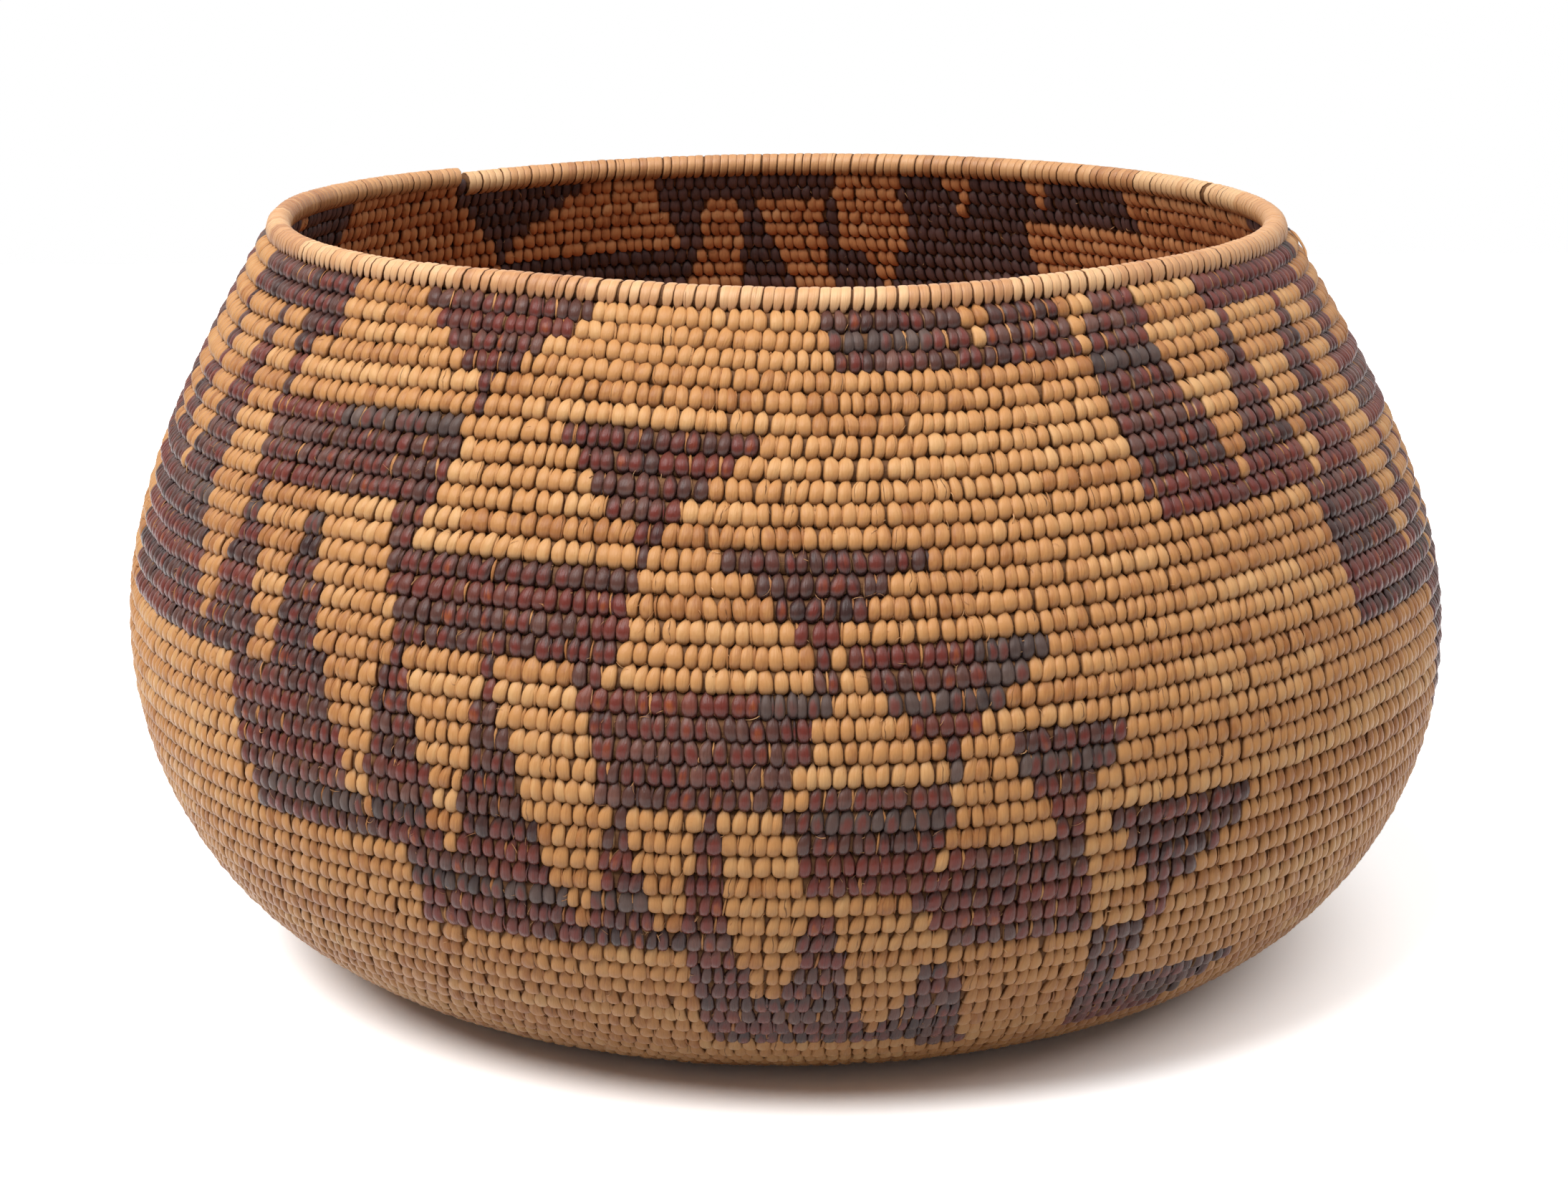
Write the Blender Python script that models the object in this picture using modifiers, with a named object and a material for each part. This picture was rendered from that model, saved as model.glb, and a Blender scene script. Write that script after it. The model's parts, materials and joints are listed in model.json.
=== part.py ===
"""A coiled basket bowl with a round belly, an open neck and a flat base.

One long coil of thin foundation rods, sewn over with flat strands, winds out from a start knot in the middle
of the base and up the wall to the rim, where it tapers off. Each stretch of the coil between two splices of
the foundation is an object of its own. The last turn is the rim, shown as the sewn wrapping, a hollow sleeve,
round the three rods of its foundation.

Metres, +Z up. The basket stands on z = 0 and its belly is centred on the Z axis.
"""

import math

import bmesh
import bpy
import numpy as np

FULL_TURN = 2 * math.pi
MM = 0.001

# The bowl's outline
BELLY_RADIUS = 160 * MM     # outside of the coils at the widest place
BELLY_HEIGHT = 81.5 * MM    # of the widest place
BASE_RADIUS = 85.6 * MM     # where the flat base turns up into the wall
RIM_RADIUS = 119.8 * MM     # middle line of the coil at the top of the wall
RIM_HEIGHT = 176.4 * MM     # middle line of the coil at the top of the wall
BELLY_BEND_SHARE = 0.71     # of the upper wall's height; above this the wall runs nearly straight to the rim
LEAN_X = -3.8 * MM          # how far the hand-built wall leans over its whole height
LEAN_Y = 3.2 * MM

# The coil
COIL_PITCH = 4.75 * MM      # from one turn to the next
COIL_GAP = 0.5 * MM         # between the flat sides of two turns
FLAT_CUT = 0.5 * MM         # depth of the flat on which the base's turns stand
SPLICE_GAP = 0.3 * MM       # between the ends of two stretches
POINTS_PER_TURN = 20

# The rim
RIM_COIL_WIDTH = 5.8 * MM
RIM_STRAND_THICKNESS = 0.55 * MM
RIM_END_ANGLE = math.radians(134)    # where the coil ends, from +X towards +Y
RIM_TAPER_LENGTH = 80 * MM
RIM_TAPER_END_WIDTH = 3.2 * MM
ROD_CLEARANCE = 0.33 * MM   # between two rods, and between a rod and the wrapping

# The start knot
KNOT_RADIUS = 2.4 * MM      # where it is narrowest; in one turn it widens by a coil
KNOT_GAP = 0.35 * MM
KNOT_STEPS = 24

# The stretches from the rim down, each with its share of all the turns; the base takes what is left
STRETCH_SHARES = (
    ("neck_coil", 0.095),
    ("shoulder_coil", 0.125),
    ("upper_belly_coil", 0.125),
    ("belly_coil", 0.125),
    ("lower_belly_coil", 0.125),
    ("heel_coil", 0.125),
    ("foot_coil", 0.125),
)

# Half the width of the six-sided coil across its flats, where turns face each other, and across its corners
SIDES = 6
FLAT_TO_CORNER = math.cos(math.pi / SIDES)
COIL_HALF_FLAT = (COIL_PITCH - COIL_GAP) / 2
COIL_HALF_CORNER = COIL_HALF_FLAT / FLAT_TO_CORNER
RIM_HALF_FLAT = RIM_COIL_WIDTH / 2 * FLAT_TO_CORNER
RIM_BORE_HALF_FLAT = RIM_HALF_FLAT - RIM_STRAND_THICKNESS
ROD_HALF_WIDTH = (RIM_BORE_HALF_FLAT - 1.5 * ROD_CLEARANCE) / 2
ROD_REACH = (2 * ROD_HALF_WIDTH + ROD_CLEARANCE) / math.sqrt(3)    # from the rim's middle line to a rod's
BASE_LINE_HEIGHT = COIL_HALF_CORNER - FLAT_CUT
BASE_THICKNESS = BASE_LINE_HEIGHT + COIL_HALF_CORNER

PROFILE_STEPS = 400
CUTTER_DEPTH = 10 * MM
MERGE_DISTANCE = 0.001 * MM

# From the top outwards and down, as shares of the knot's reach and of its thickness
KNOT_PROFILE_SHARES = ((0.55, 0.98), (0.86, 0.86), (1, 0.55), (0.97, 0.2), (0.86, 0))

LIGHT_STRAND = (0.50, 0.27, 0.11, 1)
RIM_STRAND = (0.62, 0.36, 0.17, 1)
ROD_WOOD = (0.33, 0.19, 0.09, 1)


def clear_scene():
    for obj in list(bpy.data.objects):
        bpy.data.objects.remove(obj, do_unlink=True)


def collection(name):
    made = bpy.data.collections.new(name)
    bpy.context.scene.collection.children.link(made)
    return made


def material(name, colour, roughness):
    made = bpy.data.materials.new(name)
    made.use_nodes = True
    shader = made.node_tree.nodes["Principled BSDF"]
    shader.inputs["Base Color"].default_value = colour
    shader.inputs["Roughness"].default_value = roughness
    shader.inputs["Metallic"].default_value = 0
    made.diffuse_color = colour
    return made


class Profile:
    """The middle line of the coils in section: a flat base, a quarter ellipse to the belly, and above it a
    hyperbola, which bends at the belly and straightens towards the rim."""

    def __init__(self):
        share = np.linspace(0, 1, PROFILE_STEPS)
        belly = BELLY_RADIUS - COIL_HALF_CORNER
        base_radius = BASE_RADIUS * share
        base_height = np.full(PROFILE_STEPS, BASE_LINE_HEIGHT)
        quarter = share * math.pi / 2
        lower_radius = BASE_RADIUS + (belly - BASE_RADIUS) * np.sin(quarter)
        lower_height = BELLY_HEIGHT - (BELLY_HEIGHT - BASE_LINE_HEIGHT) * np.cos(quarter)
        bend = np.hypot(share, BELLY_BEND_SHARE) - BELLY_BEND_SHARE
        upper_radius = belly - (belly - RIM_RADIUS) * bend / bend[-1]
        upper_height = BELLY_HEIGHT + (RIM_HEIGHT - BELLY_HEIGHT) * share
        # The first point of each stretch repeats the last of the one before
        self.radius = np.concatenate([base_radius, lower_radius[1:], upper_radius[1:]])
        self.height = np.concatenate([base_height, lower_height[1:], upper_height[1:]])
        steps = np.hypot(np.diff(self.radius), np.diff(self.height))
        self.distance = np.concatenate([[0], np.cumsum(steps)])
        self.length = self.distance[-1]
        self.slope = np.unwrap(np.arctan2(np.gradient(self.height), np.gradient(self.radius)))

    def at(self, distance):
        """(radius, height, slope) at a distance from the middle of the base; past the rim it runs straight on."""
        inside = min(distance, self.length)
        radius = np.interp(inside, self.distance, self.radius)
        height = np.interp(inside, self.distance, self.height)
        slope = np.interp(inside, self.distance, self.slope)
        beyond = distance - inside
        return radius + beyond * math.cos(slope), height + beyond * math.sin(slope), slope


PROFILE = Profile()


def coil_point(turn, outward=0, along=0):
    """The point of the coil that lies this many turns below its end, and its slope in section.

    outward moves it square to the wall, along moves it up the wall."""
    angle = RIM_END_ANGLE + FULL_TURN * turn
    # The rim's turn lies evenly about the rim's height
    distance = PROFILE.length - COIL_PITCH * (turn - 0.5)
    radius, height, slope = PROFILE.at(distance)
    radius += outward * math.sin(slope) + along * math.cos(slope)
    height += -outward * math.cos(slope) + along * math.sin(slope)
    # Every turn has its corners at the same angles, and an end between two corners lies on the side between them
    corner_angle = FULL_TURN / POINTS_PER_TURN
    from_middle = angle % corner_angle - corner_angle / 2
    radius *= math.cos(corner_angle / 2) / math.cos(from_middle)
    lean = (height - BELLY_HEIGHT) / RIM_HEIGHT
    x = radius * math.cos(angle) + lean * LEAN_X
    y = radius * math.sin(angle) + lean * LEAN_Y
    return (x, y, height), slope


def turns_of(length, turn):
    """A length along the coil as a share of a turn."""
    radius = PROFILE.at(PROFILE.length - COIL_PITCH * (turn - 0.5))[0]
    return length / (FULL_TURN * radius)


def stations(top, bottom):
    """Turns from the bottom end to the top one, with one at each corner of the turns between."""
    step = 1 / POINTS_PER_TURN
    offset = -RIM_END_ANGLE / FULL_TURN % step
    count = math.ceil(bottom / step)
    inner = [offset + step * i for i in range(count)]
    closest = step / 10
    inner = [turn for turn in inner if top + closest < turn < bottom - closest]
    return [bottom, *reversed(inner), top]


def tube(name, turns, half_corner, finish, parts, place=lambda turn: {}, size=lambda turn: 1, caps=True):
    """A six-sided tube along the coil, rising. Its corners point in and out of the wall, its flats up and down it."""
    curve = bpy.data.curves.new(name, "CURVE")
    curve.dimensions = "3D"
    curve.twist_mode = "Z_UP"
    curve.bevel_depth = half_corner
    curve.bevel_resolution = 1
    curve.use_fill_caps = caps
    spline = curve.splines.new("POLY")
    spline.points.add(len(turns) - 1)
    for point, turn in zip(spline.points, turns):
        place_on_coil, slope = coil_point(turn, **place(turn))
        point.co = (*place_on_coil, 1)
        point.tilt = slope - math.pi / 2
        point.radius = size(turn)
    spline.use_smooth = True
    curve.materials.append(finish)
    obj = bpy.data.objects.new(name, curve)
    parts.objects.link(obj)
    return obj


def stretch(name, top, bottom, finish, parts):
    """One stretch of the sewn coil, with its ends drawn back from the stretches that it meets."""
    top_end = top + turns_of(SPLICE_GAP / 2, top)
    bottom_end = bottom - turns_of(SPLICE_GAP / 2, bottom)
    return tube(name, stations(top_end, bottom_end), COIL_HALF_CORNER, finish, parts)


def as_mesh(obj, parts):
    """The curve made a closed mesh of the same name, so that it can be cut."""
    bpy.context.view_layer.update()
    graph = bpy.context.evaluated_depsgraph_get()
    mesh = bpy.data.meshes.new_from_object(obj.evaluated_get(graph))
    work = bmesh.new()
    work.from_mesh(mesh)
    bmesh.ops.remove_doubles(work, verts=work.verts, dist=MERGE_DISTANCE)
    work.to_mesh(mesh)
    work.free()
    name = obj.name
    made = bpy.data.objects.new(name, mesh)
    made.matrix_world = obj.matrix_world
    bpy.data.objects.remove(obj, do_unlink=True)
    made.name = name
    parts.objects.link(made)
    return made


def reaches_floor(turn):
    """Whether the coil here has its lower corner below the floor, before the flat is cut."""
    return coil_point(turn)[0][2] < COIL_HALF_CORNER


def floor_cutter(cutters):
    """A slab just below the floor, which cuts the flat that the base's turns stand on."""
    side = 2 * BELLY_RADIUS
    mesh = bpy.data.meshes.new("floor_cutter")
    work = bmesh.new()
    bmesh.ops.create_cube(work, size=1)
    bmesh.ops.scale(work, vec=(side, side, CUTTER_DEPTH), verts=work.verts)
    bmesh.ops.translate(work, vec=(0, 0, -CUTTER_DEPTH / 2), verts=work.verts)
    work.to_mesh(mesh)
    work.free()
    cutter = bpy.data.objects.new("floor_cutter", mesh)
    cutters.objects.link(cutter)
    cutter.hide_render = True
    cutter.display_type = "WIRE"
    return cutter


def cut_flat(obj, cutter):
    cut = obj.modifiers.new("stand_flat", "BOOLEAN")
    cut.operation = "DIFFERENCE"
    cut.solver = "EXACT"
    cut.object = cutter


def rim_scale(turn):
    """The rim's thickness as a share of its full width, less towards the coil's end."""
    end_scale = RIM_TAPER_END_WIDTH / RIM_COIL_WIDTH
    run = turn / turns_of(RIM_TAPER_LENGTH, 0)
    return min(1, end_scale + (1 - end_scale) * run)


def rim_lift(turn):
    """How far the rim's middle line lies above the coil's, so that its underside keeps the coil's gap."""
    return RIM_HALF_FLAT * rim_scale(turn) - COIL_HALF_FLAT


def rim_wrapping(finish, parts):
    """The strand sewn over the last turn, as a sleeve that is open at both ends."""
    bottom_end = 1 - turns_of(SPLICE_GAP / 2, 1)
    sleeve = tube(
        "rim_wrapping",
        stations(0, bottom_end),
        RIM_COIL_WIDTH / 2,
        finish,
        parts,
        place=lambda turn: {"along": rim_lift(turn)},
        size=rim_scale,
        caps=False,
    )
    wall = sleeve.modifiers.new("strand_thickness", "SOLIDIFY")
    wall.thickness = RIM_STRAND_THICKNESS
    wall.offset = -1
    wall.use_even_offset = True
    return sleeve


def rim_rods(finish, parts):
    """The three foundation rods inside the rim, which stop where the rim starts to taper."""
    top_end = turns_of(RIM_TAPER_LENGTH, 0)
    bottom_end = 1 - turns_of(SPLICE_GAP / 2, 1)
    for number, name in enumerate(("rim_rod_outer", "rim_rod_upper", "rim_rod_lower")):
        around = number * FULL_TURN / 3
        outward = ROD_REACH * math.cos(around)
        along = ROD_REACH * math.sin(around)
        tube(
            name,
            stations(top_end, bottom_end),
            ROD_HALF_WIDTH,
            finish,
            parts,
            place=lambda turn: {"outward": outward, "along": along + rim_lift(turn)},
        )


def start_knot(inner_end, finish, parts):
    """The knot that the coil starts from: a flat-bottomed disc that widens by one coil in its turn, as the coil does.

    inner_end is the turn at which the coil's inner end lies."""
    lean = -BELLY_HEIGHT / RIM_HEIGHT
    last_step = 1 - SPLICE_GAP / (FULL_TURN * (KNOT_RADIUS + COIL_PITCH))
    work = bmesh.new()
    top = work.verts.new((0, 0, BASE_THICKNESS))
    columns = []
    for step in np.linspace(0, last_step, KNOT_STEPS):
        angle = RIM_END_ANGLE + FULL_TURN * (inner_end - step)
        reach = KNOT_RADIUS + COIL_PITCH * step
        column = []
        for across, upward in KNOT_PROFILE_SHARES:
            place = (reach * across * math.cos(angle), reach * across * math.sin(angle), BASE_THICKNESS * upward)
            column.append(work.verts.new(place))
        columns.append(column)
    for column, following in zip(columns, columns[1:]):
        work.faces.new((top, following[0], column[0]))
        for number in range(len(column) - 1):
            work.faces.new((column[number], following[number], following[number + 1], column[number + 1]))
    # The step where the turn closes, and the flat underside
    work.faces.new((top, *columns[0], *reversed(columns[-1])))
    work.faces.new([column[-1] for column in reversed(columns)])
    bmesh.ops.recalc_face_normals(work, faces=work.faces)
    mesh = bpy.data.meshes.new("start_knot")
    work.to_mesh(mesh)
    work.free()
    mesh.materials.append(finish)
    knot = bpy.data.objects.new("start_knot", mesh)
    parts.objects.link(knot)
    knot.location = (lean * LEAN_X, lean * LEAN_Y, 0)
    return knot


def coil_corners(turn):
    """The six corners of the coil's section."""
    corners = []
    for number in range(SIDES):
        around = number * FULL_TURN / SIDES
        outward = COIL_HALF_CORNER * math.cos(around)
        along = COIL_HALF_CORNER * math.sin(around)
        corners.append(coil_point(turn, outward=outward, along=along)[0])
    return np.array(corners)


def least_gap(bottom):
    """The least distance between a corner of the coil and one of the turn below it."""
    least = math.inf
    for turn in stations(1, bottom - 1):
        between = coil_corners(turn)[:, None] - coil_corners(turn + 1)[None]
        least = min(least, np.linalg.norm(between, axis=2).min())
    return least


def main():
    clear_scene()
    parts = collection("coiled_basket_bowl")
    cutters = collection("cutters")
    strand = material("light_strand", LIGHT_STRAND, 0.5)
    rim_strand = material("rim_strand", RIM_STRAND, 0.45)
    rod_wood = material("foundation_rod", ROD_WOOD, 0.75)

    rim_wrapping(rim_strand, parts)
    rim_rods(rod_wood, parts)
    innermost = KNOT_RADIUS + KNOT_GAP + COIL_HALF_FLAT
    last = (PROFILE.length - innermost) / COIL_PITCH + 0.5
    cutter = floor_cutter(cutters)
    top = 1
    for name, share in (*STRETCH_SHARES, ("base_coil", 1)):
        bottom = min(top + max(1, round(share * last)), last)
        coil = stretch(name, top, bottom, strand, parts)
        if reaches_floor(bottom):
            cut_flat(as_mesh(coil, parts), cutter)
        top = bottom
    start_knot(last, strand, parts)

    print(f"{last:.2f} turns, {COIL_PITCH / MM:.2f} mm apart")
    print(f"least gap between two turns {least_gap(last) / MM:.2f} mm")


main()
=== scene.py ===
"""How the coiled basket bowl looks: each stitch of strand over its foundation, the wrapped rim, and a plain
studio.

The coil is the same spiral as in the solids: it rises clockwise from the start knot to its end on the rim. A
place on the basket is given by a turn, counted down from that end, and stitches are shaped in the wall's own
directions: right along the coil as seen from outside, up the wall, and out of it.
"""

import json
import math
from collections import namedtuple

import bpy
import numpy as np
from mathutils import Matrix, Vector

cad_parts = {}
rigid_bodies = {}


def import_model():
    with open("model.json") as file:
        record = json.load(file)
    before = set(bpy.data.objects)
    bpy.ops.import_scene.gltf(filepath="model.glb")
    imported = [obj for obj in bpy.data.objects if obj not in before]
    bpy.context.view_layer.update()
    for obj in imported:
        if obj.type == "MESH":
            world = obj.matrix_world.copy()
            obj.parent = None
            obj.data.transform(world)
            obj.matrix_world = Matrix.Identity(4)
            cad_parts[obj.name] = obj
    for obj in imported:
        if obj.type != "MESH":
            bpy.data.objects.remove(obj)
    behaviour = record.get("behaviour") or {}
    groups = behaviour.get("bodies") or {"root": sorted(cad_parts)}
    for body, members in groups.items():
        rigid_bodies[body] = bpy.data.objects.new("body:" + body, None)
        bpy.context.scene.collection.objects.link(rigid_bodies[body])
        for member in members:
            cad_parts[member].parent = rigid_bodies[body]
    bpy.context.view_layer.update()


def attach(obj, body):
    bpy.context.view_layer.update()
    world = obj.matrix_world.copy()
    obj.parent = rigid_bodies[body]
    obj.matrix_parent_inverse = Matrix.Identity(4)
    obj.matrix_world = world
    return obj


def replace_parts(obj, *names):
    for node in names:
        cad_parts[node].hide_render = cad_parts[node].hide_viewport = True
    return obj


FULL_TURN = 2 * math.pi
MM = 0.001

# The basket's sizes, the same as in the solids
BELLY_RADIUS = 160 * MM
BELLY_HEIGHT = 81.5 * MM
BASE_RADIUS = 85.6 * MM
RIM_RADIUS = 119.8 * MM
RIM_HEIGHT = 176.4 * MM
BELLY_BEND_SHARE = 0.71
LEAN_X = -3.8 * MM
LEAN_Y = 3.2 * MM
COIL_PITCH = 4.75 * MM
COIL_DEPTH = 2.5 * MM  # from the coil's middle line to the top of its stitches
BASE_LINE_HEIGHT = 1.95 * MM  # of the coil's middle line in the base
RIM_COIL_RADIUS = 2.95 * MM
RIM_END_ANGLE = math.radians(134)
KNOT_RADIUS = 2.4 * MM
FIRST_STITCH = 4.9 * MM  # from the middle of the base
PROFILE_STEPS = 600  # in each of its three stretches

# The rim near the coil's end, which is blunter than in the solids
RIM_TAPER_LENGTH = 80 * MM
RIM_TAPER_END_SHARE = 0.90
RIM_END_SINK = 2.2 * MM  # how far the wrapping sits down over the row below at the coil's end

# The sewing. Shares along the coil are of the stitches' spacing, and shares up or out are of the pitch.
STITCH_SPACING = 2.9 * MM
RIM_SPACING = 2.3 * MM
TIP_SHARE = 0.17  # how far a stitch's tip lies to the right of its foot
STITCH_RISE_SHARE = 1.2  # from a stitch's foot to its tip
SLANT_SHARE = 0.08  # how far a stitch leans to the right over one pitch
TIP_LEAN_SHARE = 0.06  # how far its tip bends further to the right
RIM_TIP_LEAN_SHARE = -0.30  # and how far back from that it stands near the rim
RIM_TIP_LEAN_ROWS = 11
SPLIT_GAP_SHARE = 0.25  # where a gap takes two stitches, either side of its middle
LEAST_GAP_SHARE = 0.4
PLACE_SPREAD_SHARE = 0.05
LAST_PLACE_SPREAD_SHARE = 0.065
EVENING_PASSES = 6

# Where the hand-built coil strays: the middle and spread in degrees, the most rows down, and the middle and
# spread in rows
STRAYS = ((205, 22, 0.36, 13, 15), (250, 22, -0.49, 4, 9), (326, 24, -0.55, 8, 24), (106, 34, -0.7, 8, 9))
STRAY_FADE_ROWS = 3.5  # from the first row down, over which these grow to their full size
# Where the rim and the rows next to it dip or rise: the middle and spread in degrees, and the rows down
RIM_STRAYS = ((281, 21, 0.26), (243, 13, -0.12))
RIM_STRAY_ROWS = 6

# Slow wander over the wall: how many waves go round the basket, and the radians that they drift by in a turn
WAVES = ((2, 0.31), (5, -0.23), (9, 0.9), (16, -1.3))
SLANT_WANDER_SHARE = 0.22
SPACING_WANDER_SHARE = 0.11
PLUMP_WANDER_SHARE = 0.08

# Each thing that differs at random has a seed of its own
SLANT_SEED = 11
PLUMP_SEED = 23
SPACING_SEED = 31
LAYOUT_SEED = 604
STITCH_SEED = 605
FIBRE_SEED = 607
WRAP_SEED = 611
KNOT_SEED = 615

# The coil's stretches from the rim's turn down, as in the solids, and the turns that they start and end at
ZONES = ("neck", "shoulder", "upper_belly", "belly", "lower_belly", "heel", "foot", "base")
ZONE_TURNS = (1, 7, 15, 23, 31, 39, 47, 55, 70)
KNOT_TURNS = 0.9  # how far the coil goes on inwards from its first stitch, as the knot


class Profile:
    """The middle line of the coils in section: a flat base, a quarter ellipse to the belly, and above it a
    hyperbola, which bends at the belly and straightens towards the rim."""

    def __init__(self):
        share = np.linspace(0, 1, PROFILE_STEPS)
        belly = BELLY_RADIUS - COIL_DEPTH
        quarter = share * math.pi / 2
        base_height = np.full(PROFILE_STEPS, BASE_LINE_HEIGHT)
        lower_radius = BASE_RADIUS + (belly - BASE_RADIUS) * np.sin(quarter)
        lower_height = BELLY_HEIGHT - (BELLY_HEIGHT - BASE_LINE_HEIGHT) * np.cos(quarter)
        bend = np.hypot(share, BELLY_BEND_SHARE) - BELLY_BEND_SHARE
        upper_radius = belly - (belly - RIM_RADIUS) * bend / bend[-1]
        upper_height = BELLY_HEIGHT + (RIM_HEIGHT - BELLY_HEIGHT) * share
        self.radius = np.concatenate([BASE_RADIUS * share, lower_radius[1:], upper_radius[1:]])
        self.height = np.concatenate([base_height, lower_height[1:], upper_height[1:]])
        run = np.hypot(np.diff(self.radius), np.diff(self.height))
        self.distance = np.concatenate([[0], np.cumsum(run)])
        self.length = self.distance[-1]
        self.slope = np.unwrap(np.arctan2(np.gradient(self.height), np.gradient(self.radius)))

    def at(self, distance):
        """The radius, height and slope at a distance along the section from the middle of the base."""
        inside = np.clip(distance, 0, self.length)
        radius = np.interp(inside, self.distance, self.radius)
        height = np.interp(inside, self.distance, self.height)
        slope = np.interp(inside, self.distance, self.slope)
        beyond = distance - inside
        return radius + beyond * np.cos(slope), height + beyond * np.sin(slope), slope


PROFILE = Profile()
LAST_TURN = (PROFILE.length - FIRST_STITCH) / COIL_PITCH + 0.5


def degrees_at(turn):
    """The angle round the basket at a turn."""
    return np.degrees(RIM_END_ANGLE) + 360 * turn


def away_from(angle, middle):
    """How far an angle lies from a middle one, from -180 to 180 degrees."""
    return (angle - middle + 180) % 360 - 180


def stray(turn):
    """How many rows the coil lies below its even spacing."""
    angle = degrees_at(turn)
    total = np.zeros_like(angle)
    for middle, spread, most, row, rows in STRAYS:
        away = away_from(angle, middle) / spread
        total = total + most * np.exp(-(away**2) - ((turn - row) / rows) ** 2)
    total = total * np.clip((turn - 1) / STRAY_FADE_ROWS, 0, 1)
    for middle, spread, most in RIM_STRAYS:
        away = away_from(angle, middle) / spread
        total = total + most * np.exp(-(away**2) - (turn / RIM_STRAY_ROWS) ** 2)
    return total


def distance_of(turn):
    """How far along the section, from the middle of the base, the coil lies at a turn."""
    return PROFILE.length - COIL_PITCH * (turn - 0.5 + stray(turn))


def leaned(radius, angle, height):
    """World points on the basket, which leans a little as a whole."""
    lean = (height - BELLY_HEIGHT) / RIM_HEIGHT
    x = radius * np.cos(angle) + lean * LEAN_X
    y = radius * np.sin(angle) + lean * LEAN_Y
    return np.stack([x, y, height], axis=-1)


def on_wall(turn, right, up, out):
    """World points for places given in the wall's own directions about the coil's middle line at a turn."""
    radius, height, slope = PROFILE.at(distance_of(turn) + up)
    angle = RIM_END_ANGLE + FULL_TURN * turn + right / np.maximum(radius, KNOT_RADIUS)
    radius = radius + out * np.sin(slope)
    height = height - out * np.cos(slope)
    return leaned(radius, angle, np.maximum(height, 0))


def rim_scale(turn):
    """The rim's thickness as a share of its full one, less towards the coil's end."""
    run = turn * FULL_TURN * RIM_RADIUS / RIM_TAPER_LENGTH
    return np.clip(RIM_TAPER_END_SHARE + (1 - RIM_TAPER_END_SHARE) * run, RIM_TAPER_END_SHARE, 1)


def on_rim(turn, right, around, reach):
    """World points round the rim's own coil: around is the angle from straight out of the wall towards up."""
    scale = rim_scale(turn)
    sink = RIM_END_SINK * (1 - scale) / (1 - RIM_TAPER_END_SHARE)
    lift = RIM_COIL_RADIUS * scale - COIL_DEPTH - sink
    up = lift + reach * scale * np.sin(around)
    out = reach * scale * np.cos(around)
    radius, height, slope = PROFILE.at(distance_of(turn))
    angle = RIM_END_ANGLE + FULL_TURN * turn + right / radius
    along_radius = radius + out * np.sin(slope) + up * np.cos(slope)
    along_height = height - out * np.cos(slope) + up * np.sin(slope)
    return leaned(along_radius, angle, along_height)


def waves(turn, seed, size):
    """A slow, smooth wander over the wall, from -size to size."""
    phases = np.random.default_rng(seed).uniform(0, FULL_TURN, len(WAVES))
    angle = FULL_TURN * turn
    wander = 0
    for (count, drift), phase in zip(WAVES, phases):
        wander = wander + np.sin(count * angle + drift * turn + phase)
    return size * wander / len(WAVES)


def slant_of(turn):
    """How far a stitch leans to the right over one pitch, as a share of the spacing."""
    return SLANT_SHARE + waves(turn, SLANT_SEED, SLANT_WANDER_SHARE)


def tip_lean_of(turn):
    """How far a stitch's tip bends further to the right, as a share of the spacing: near the rim it stands
    over the middle."""
    return TIP_LEAN_SHARE + RIM_TIP_LEAN_SHARE * np.exp(-((turn / RIM_TIP_LEAN_ROWS) ** 2))


def turn_share(turn):
    """The share of a turn that one stitch takes."""
    spacing = STITCH_SPACING * (1 + waves(turn, SPACING_SEED, SPACING_WANDER_SHARE))
    return spacing / (FULL_TURN * PROFILE.at(distance_of(turn))[0])


def evened(places):
    """Places with each one but the ends moved towards the middle of its neighbours, a few times over."""
    places = places.copy()
    for _ in range(EVENING_PASSES):
        places[2:-1] += 0.5 * ((places[1:-2] + places[3:]) / 2 - places[2:-1])
    return places


def layout():
    """The turn of each stitch, from the rim down.

    It is laid out from the start knot up. A stitch passes between two stitches of the turn below, so each one
    stands over a gap. As the turns widen a gap here and there takes two, and as they narrow one is passed
    over."""
    rng = np.random.default_rng(LAYOUT_SEED)
    size = turn_share(LAST_TURN)
    places = list(np.arange(-LAST_TURN, -LAST_TURN + 1, size))
    owed = 0.0
    first = 0
    while places[-1] < -1:
        block = []
        last = len(places) - 1
        for left, right in zip(places[first:last], places[first + 1:last + 1]):
            middle = (left + right) / 2 + 1
            size = turn_share(-middle)
            middle -= (TIP_SHARE + tip_lean_of(-middle) + STITCH_RISE_SHARE * slant_of(-middle)) * size
            owed += (right - left) / size - 1
            if owed > 0.5:
                block += [middle - SPLIT_GAP_SHARE * size, middle + SPLIT_GAP_SHARE * size]
                owed -= 1
            elif owed < -0.5:
                owed += 1
            else:
                block.append(middle)
        fresh = np.array(block)
        fresh = fresh[fresh > places[-1] + LEAST_GAP_SHARE * size]
        fresh[1:-1] += rng.normal(0, PLACE_SPREAD_SHARE * size, len(fresh) - 2)
        places += list(evened(np.concatenate([places[-2:], fresh]))[2:])
        first = last
    turns = -np.array(places)
    turns = turns[turns > 1][::-1]
    return turns + rng.normal(0, LAST_PLACE_SPREAD_SHARE, len(turns)) * turn_share(turns)


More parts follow.
